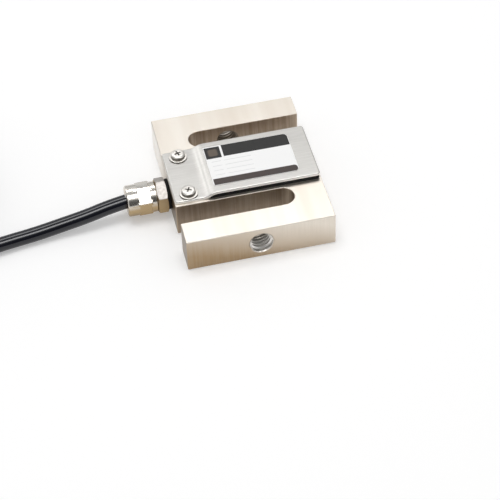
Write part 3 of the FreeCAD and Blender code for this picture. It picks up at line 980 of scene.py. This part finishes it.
def pan_head_screw():
    """Low pan head with a cross recess and its plain shank."""
    low = FLANGE_TOP + FLAT_WASHER
    top = low + SCREW_HEAD_HEIGHT
    screw = disc("cover_screw_near", SCREW_HEAD / 2, low, top)
    edit(screw)
    pick(screw, "FACE", lambda face: face.normal.z < -0.9)
    bpy.ops.mesh.inset(thickness=SCREW_HEAD / 2 - SHANK_RADIUS)
    grow(0.0, 0.0, -SHANK_LENGTH)
    grow(0.0, 0.0, -SHANK_TIP)
    stretch((0.0, 0.0, 0.0), *SHANK_TAPER)
    pick(screw, "EDGE", lambda edge: middle(edge).z > top - 0.01 * MM)
    roll(SCREW_HEAD_ROUND, 9, 0.56)
    close()
    cut(screw, recess_cutter(top))
    return screw


def set_round(first, second_name, turns):
    """Puts a fastener modelled on the origin's axis in the near place, and its copy in the far one."""
    pair = [first, copied(first, second_name)]
    for piece, place, turn in zip(pair, SCREW_PLACES, turns):
        edit(piece)
        pick_all()
        bpy.ops.transform.rotate(
            value=math.radians(turn), orient_axis="Z", orient_type="GLOBAL", center_override=(0.0, 0.0, 0.0)
        )
        bpy.ops.transform.translate(value=(*place, 0.0))
        close()
        smooth(piece, 40.0)
    return pair


def cover_fasteners(finishes):
    """Screws, each on its flat washer."""
    sets = (
        (pan_head_screw(), "cover_screw_far", SCREW_TURNS, "cover_screws"),
        (flat_washer(), "flat_washer_far", (0.0, 0.0), "flat_washers"),
    )
    for first, second_name, turns, node in sets:
        near, far = set_round(first, second_name, turns)
        fit(near, finishes, "plated_screw_steel", node)
        fit(far, finishes, "plated_screw_steel")


# ---------------------------------------------------------------- gland

NECK_RADIUS = 4.3 * MM
NECK_LENGTH = 6.1 * MM
SPIGOT_RADIUS = 4.0 * MM
SPIGOT_END = -18.9 * MM
NUT_FACE = -30.05 * MM
NUT_FLATS = 10.0 * MM
NUT_HEX = 5.1 * MM
NUT_TURN = 8.0
COLLAR_RADIUS = 5.3 * MM
COLLAR_LENGTH = 1.7 * MM
NOSE_RADIUS = 5.45 * MM
NOSE_LENGTH = 3.5 * MM
NOSE_WALL = 1.3 * MM
HEX_CHAMFER = 0.35 * MM
HEX_ROUND = 0.16 * MM
END_BREAK = 0.3 * MM
SPIGOT_BREAK = 0.4 * MM
NOSE_ROUND = 0.6 * MM
OVERLAP = 0.5 * MM
CABLE_BORE = 2.62 * MM
WAY_THROUGH = (-45.0 * MM, -15.0 * MM)
RUBBER_RADIUS = 5.3 * MM
RUBBER_ROUND = 0.28 * MM


def drum(name, radius, left, right, sides=72, turn=0.0):
    """A drum along X on the gland's axis; with six sides, a corner stands up at no turn."""
    fresh()
    upright = Matrix.Rotation(math.radians(turn + 90.0), 3, "X")
    pose = upright @ Matrix.Rotation(math.pi / 2, 3, "Y")
    bpy.ops.mesh.primitive_cylinder_add(
        vertices=sides,
        radius=radius,
        depth=right - left,
        location=((left + right) / 2, 0.0, BORE_HEIGHT),
        rotation=pose.to_euler(),
    )
    return named(name)


def round_edges(piece, place, offset, segments):
    """Rounds the edges that lie in one plane across the gland's axis."""
    edit(piece)
    pick(piece, "EDGE", lambda edge: all(abs(vertex.co.x - place) < 0.01 * MM for vertex in edge.verts))
    roll(offset, segments)
    close()


def hexagon(name, flats, left, right, turn):
    """A hexagon with softened long edges and its corners chamfered at both ends."""
    corner = flats / 2 / math.cos(math.pi / 6)
    prism = drum(name, corner, left, right, 6, turn)
    edit(prism)
    pick(prism, "EDGE", lambda edge: abs(edge.verts[0].co.x - edge.verts[1].co.x) > (right - left) / 2)
    roll(HEX_ROUND, 3)
    close()
    blank = drum("turned_blank", corner, left + HEX_CHAMFER, right - HEX_CHAMFER, 96)
    edit(blank)
    share = (flats / 2 + HEX_CHAMFER / 2) / corner
    centre = (0.0, 0.0, BORE_HEIGHT)
    for way in (-1, 1):
        pick(blank, "FACE", lambda face: face.normal.x * way > 0.9)
        grow(way * HEX_CHAMFER, 0.0, 0.0)
        stretch(centre, 1.0, share, share)
    close()
    apply(prism, "BOOLEAN", operation="INTERSECT", solver="EXACT", object=blank)
    bpy.data.objects.remove(blank)
    return prism


def fused(piece, other):
    """Makes one solid of two that overlap."""
    apply(piece, "BOOLEAN", operation="UNION", solver="EXACT", object=other)
    bpy.data.objects.remove(other)


def gland_body(finishes):
    """Hexagon, the neck under the cap nut and the spigot that goes into the beam, both without threads."""
    hex_left = GLAND_FACE - BODY_HEX
    neck_left = hex_left - NECK_LENGTH
    body = hexagon("gland_body_turned", BODY_FLATS, hex_left, GLAND_FACE, 0.0)
    neck = drum("gland_neck", NECK_RADIUS, neck_left, hex_left + OVERLAP)
    round_edges(neck, neck_left, END_BREAK, 1)
    fused(body, neck)
    spigot = drum("gland_spigot", SPIGOT_RADIUS, GLAND_FACE - OVERLAP, SPIGOT_END)
    round_edges(spigot, SPIGOT_END, SPIGOT_BREAK, 1)
    fused(body, spigot)
    cut(body, drum("cable_way", CABLE_BORE, *WAY_THROUGH))
    smooth(body, 35.0)
    fit(body, finishes, "nickel_plated_brass", "gland_body")


def gland_cap_nut(finishes):
    """Collar, hexagon and turned nose of the nut that grips the cable."""
    hex_right = NUT_FACE - COLLAR_LENGTH
    hex_left = hex_right - NUT_HEX
    nose_left = hex_left - NOSE_LENGTH
    nut = hexagon("gland_cap_nut_turned", NUT_FLATS, hex_left, hex_right, NUT_TURN)
    collar = drum("nut_collar", COLLAR_RADIUS, hex_right - OVERLAP, NUT_FACE)
    round_edges(collar, NUT_FACE, END_BREAK, 3)
    fused(nut, collar)
    nose = drum("nut_nose", NOSE_RADIUS, nose_left, hex_left + OVERLAP)
    round_edges(nose, nose_left, NOSE_ROUND, 5)
    fused(nut, nose)
    cut(nut, drum("cable_way", CABLE_BORE, *WAY_THROUGH))
    cut(nut, drum("thread_room", NECK_RADIUS + 0.06 * MM, nose_left + NOSE_WALL, WAY_THROUGH[1]))
    smooth(nut, 35.0)
    fit(nut, finishes, "nickel_plated_brass", "gland_cap_nut")


def sealing_washer(finishes):
    """Rubber washer squeezed between gland and beam."""
    washer = drum("sealing_washer", RUBBER_RADIUS, GLAND_FACE, -BEAM_SIDE)
    for place in (GLAND_FACE, -BEAM_SIDE):
        round_edges(washer, place, RUBBER_ROUND, 4)
    cut(washer, drum("spigot_way", SPIGOT_RADIUS + 0.05 * MM, *WAY_THROUGH))
    smooth(washer, 40.0)
    fit(washer, finishes, "black_rubber", "gland_sealing_washer")


# ---------------------------------------------------------------- cable

# Where the cable changes column or layer: whole turns and degrees wound, diameters outwards and upwards
CROSSINGS = [
    (0, 315, -1, 0),
    (1, 315, -1, 0),
    (2, 285, 0, 1),
    (3, 255, 1, 0),
    (4, 255, 1, 0),
    (5, 225, 0, 1),
    (6, 195, -1, 0),
    (7, 195, -1, 0),
    (8, 165, 0, 1),
    (9, 135, 1, 0),
    (10, 20, 1, 0),
]


def coil_points():
    """Control points of the coil, wound clockwise seen from above, a crossing after each turn."""
    points = []
    wound = COIL_STEP / 2
    last = COIL_END_TURNS * 360 + COIL_END_ANGLE
    while True:
        radius = COIL_FIRST_RADIUS
        height = COIL_FIRST_HEIGHT
        for turns, degrees, outwards, upwards in CROSSINGS:
            share = min(max((wound - turns * 360 - degrees) / CROSSING_SPAN + 0.5, 0.0), 1.0)
            radius += outwards * CABLE_DIAMETER * share
            height += upwards * CABLE_DIAMETER * share
        if wound < last:
            radius /= math.cos(math.radians(COIL_STEP / 2))
        angle = math.radians(COIL_START - wound)
        points.append((COIL_X + radius * math.cos(angle), COIL_Y + radius * math.sin(angle), height))
        if wound >= last:
            return points
        wound = min(wound + COIL_STEP, last)


def wire(name, points, diameter, resolution=6, steps=6):
    """A round wire on one smooth line, its section and its length divided by the two counts."""
    data = bpy.data.curves.new(name, "CURVE")
    data.dimensions = "3D"
    line = data.splines.new("NURBS")
    line.points.add(len(points) - 1)
    for point, place in zip(line.points, points):
        point.co = (*place, 1.0)
    line.order_u = 3
    line.use_endpoint_u = True
    line.resolution_u = steps
    data.bevel_depth = diameter / 2
    data.bevel_resolution = resolution
    data.use_fill_caps = True
    made = bpy.data.objects.new(name, data)
    scene.collection.objects.link(made)
    return made


def signal_cable(finishes, on_it):
    """The whole cable on one smooth line: out of the gland, down to the floor and into its coil."""
    cable = wire("signal_cable_whole", [CABLE_EXIT] + CABLE_ROUTE + coil_points(), CABLE_DIAMETER)
    fit(cable, finishes, "cable_jacket", "signal_cable", "cable_coil")


def coil_ties(finishes):
    """The two flat ties, their edges rolled."""
    ties = []
    for place in ("near", "far"):
        tie = from_node("cable_tie_" + place, "coil_tie_" + place)
        break_edges(tie, 0.2 * MM, 3, 20.0)
        smooth(tie, 40.0)
        fit(tie, finishes, "tie_plastic", "cable_tie_" + place)
        ties.append(tie)
    return ties


# ---------------------------------------------------------------- stripped end

CORE_DIAMETER = 1.2 * MM
TIP_DIAMETER = 0.7 * MM
TIP_LENGTH = 6.0 * MM
TIP_ROOT = 1.0 * MM
STRANDS = 4
STRAND_DIAMETER = 0.55 * MM
STRAND_OFFSET = 0.42
STRAND_TURNS = 5.0
STRAND_STEPS = 32
STRAND_REACH = 1.1

# Each core's route about the coil: radius in millimetres, angle in degrees and height in millimetres
CORE_ROUTES = {
    "red": [
        (31.7, -140, 18.5), (31.4, -150, 18.3), (30.9, -163, 16.8),
        (30.85, -178, 16.15), (30.95, -193, 16.2),
    ],
    "green": [
        (31.7, -140, 17.0), (31.9, -150, 16.8), (32.15, -163, 16.2),
        (32.1, -177, 16.15), (32.2, -189, 16.2),
    ],
    "black": [
        (33.3, -140, 17.0), (33.35, -150, 16.6), (33.45, -163, 16.2),
        (33.4, -178, 16.15), (33.75, -192, 16.2),
    ],
    "white": [
        (33.3, -140, 18.5), (33.2, -150, 18.4), (32.85, -164, 17.5),
        (32.75, -178, 17.3), (32.95, -190, 17.4),
    ],
}
SHIELD_ROUTE = [(32.5, -140, 19.65), (32.3, -149, 19.85), (31.6, -163, 18.9), (31.4, -176, 17.8)]


def about_coil(radius, angle, height):
    """A point about the coil's axis, from millimetres and degrees."""
    turn = math.radians(angle)
    reach = radius * MM
    return Vector((COIL_X + reach * math.cos(turn), COIL_Y + reach * math.sin(turn), height * MM))


def along(route, share):
    """Radius, angle and height at a share of the way along a route, straight on past its end."""
    way = share * (len(route) - 1)
    index = min(int(way), len(route) - 2)
    return [a + (b - a) * (way - index) for a, b in zip(route[index], route[index + 1])]


def stripped_cores(finishes):
    """The four cores, each with its tinned tip."""
    made = []
    for colour, route in CORE_ROUTES.items():
        points = [about_coil(*point) for point in route]
        core = wire("core_" + colour + "_insulation", points, CORE_DIAMETER)
        fit(core, finishes, "core_" + colour, "end_core_" + colour)
        ahead = (points[-1] - points[-2]).normalized()
        tip_points = [points[-1] + ahead * reach for reach in (-TIP_ROOT, 0.0, TIP_LENGTH)]
        tip = wire("core_" + colour + "_tip", tip_points, TIP_DIAMETER)
        fit(tip, finishes, "shield_copper")
        made += [core, tip]
    return made


def shield_strands(finishes):
    """The shield's strands, twisted together into one tail."""
    made = []
    for number in range(STRANDS):
        points = []
        for step in range(STRAND_STEPS + 1):
            share = step / STRAND_STEPS * STRAND_REACH
            radius, angle, height = along(SHIELD_ROUTE, share)
            turn = 2 * math.pi * (number / STRANDS + share * STRAND_TURNS)
            radius += STRAND_OFFSET * math.cos(turn)
            height += STRAND_OFFSET * math.sin(turn)
            points.append(about_coil(radius, angle, height))
        strand = wire(f"shield_strand_{number + 1}", points, STRAND_DIAMETER, resolution=2, steps=3)
        replaced = () if number else ("end_shield",)
        fit(strand, finishes, "shield_copper", *replaced)
        made.append(strand)
    return made


# ---------------------------------------------------------------- studio

CAMERA_PLACE = Vector((-0.08115, -0.41943, 0.41864))
CAMERA_TARGET = Vector((-0.003415, -0.027231, 0.0))
CAMERA_LENS = 123.85
CAMERA_ROLL = -2.56
LAMP_TARGET = Vector((-0.03, 0.0, 0.0))


def floor():
    """Plain pale floor that reads white to the camera and keeps the shadow."""
    fresh()
    bpy.ops.mesh.primitive_plane_add(size=8.0, location=(0.0, 0.0, -0.0002))
    plane = bpy.context.object
    plane.name = "studio_floor"
    white = (1.0, 1.0, 1.0, 1.0)
    finish = Finish("pale_floor", Roughness=0.9, Specular_IOR_Level=0.0, Emission_Color=white)
    cloud = finish.grain(3.0, detail=2.0)
    finish.colour(finish.mixed(cloud, (0.80, 0.80, 0.80), (0.82, 0.82, 0.82)))
    seen = finish.rays("Is Camera Ray", "Is Glossy Ray", "Is Transmission Ray")
    finish.feed(finish.shader.inputs["Emission Strength"], seen * 0.27)
    wear(plane, finish.material)


def world():
    """White for the camera; in reflections a pale room, brighter in front, dimmer above, one corner dark."""
    sky = bpy.data.worlds.new("studio_world")
    sky.use_nodes = True
    room = Wiring(sky.node_tree)
    background = room.tree.nodes["Background"]
    background.inputs["Color"].default_value = (1.0, 1.0, 1.0, 1.0)
    x, y, z = room.axes(room.node("ShaderNodeTexCoord", out="Generated"))
    walls = z.ramped(0.03, 0.5) * 0.30 + 0.42
    front_band = (y + 0.66).ramped(0.0, 0.1) * (0.0 - y).ramped(0.17, 0.45) * z.ramped(0.5, 0.7)
    overhead = (0.22 - abs(y - 0.08)).ramped(0.0, 0.08) * z.ramped(0.75, 0.85)
    corner = (0.0 - y).ramped(0.60, 0.74) * (0.42 - abs(x - 0.06)).ramped(0.0, 0.15)
    seen = (walls + front_band * 0.5) * (1.0 - corner * 0.85) * (1.0 - overhead * 0.45)
    glossy = room.rays("Is Glossy Ray")
    light = 0.60 * (1.0 - glossy) + seen * glossy
    room.feed(background.inputs["Strength"], light.at_least(room.rays("Is Camera Ray")))
    scene.world = sky


def softbox(name, place, width, depth, power, sheen_only=False, shade_only=False):
    """A rectangular lamp that faces the cell; it may feed only the reflections, or only the shading."""
    data = bpy.data.lights.new(name, "AREA")
    data.shape = "RECTANGLE"
    data.size = width
    data.size_y = depth
    data.energy = power
    lamp = bpy.data.objects.new(name, data)
    scene.collection.objects.link(lamp)
    lamp.location = place
    lamp.rotation_euler = (LAMP_TARGET - Vector(place)).to_track_quat("-Z", "Y").to_euler()
    lamp.visible_diffuse = not sheen_only
    lamp.visible_glossy = not shade_only


def camera():
    """Long lens from the front left and above, with a slight roll."""
    data = bpy.data.cameras.new("studio_camera")
    data.sensor_fit = "HORIZONTAL"
    data.sensor_width = 36.0
    data.lens = CAMERA_LENS
    data.clip_start = 0.01
    data.clip_end = 20.0
    eye = bpy.data.objects.new("studio_camera", data)
    scene.collection.objects.link(eye)
    aim = (CAMERA_TARGET - CAMERA_PLACE).to_track_quat("-Z", "Y").to_matrix().to_4x4()
    tilt = Matrix.Rotation(math.radians(CAMERA_ROLL), 4, "Z")
    eye.matrix_world = Matrix.Translation(CAMERA_PLACE) @ aim @ tilt
    scene.camera = eye


def studio():
    scene.view_settings.view_transform = "Standard"
    camera()
    floor()
    world()
    softbox("key_softbox", (-0.05, 0.10, 0.90), 0.50, 0.40, 2.8, shade_only=True)
    softbox("front_strip", (-0.03, -0.34, 0.93), 0.95, 0.30, 5.5, sheen_only=True)
    softbox("rear_strip", (-0.03, 0.49, 0.88), 0.95, 0.26, 3.1, sheen_only=True)
    softbox("left_window", (-0.50, 0.76, 0.56), 0.42, 0.34, 0.95, sheen_only=True)


# ---------------------------------------------------------------- assembly

studio()
finishes = make_finishes()
for node_name, node_object in nodes.items():
    wear(node_object, finishes[node_finish(node_name)])
signal_cable(finishes, coil_ties(finishes) + stripped_cores(finishes) + shield_strands(finishes))
steel_beam(finishes)
joggled_cover(finishes)
cover_fasteners(finishes)
gland_body(finishes)
gland_cap_nut(finishes)
sealing_washer(finishes)
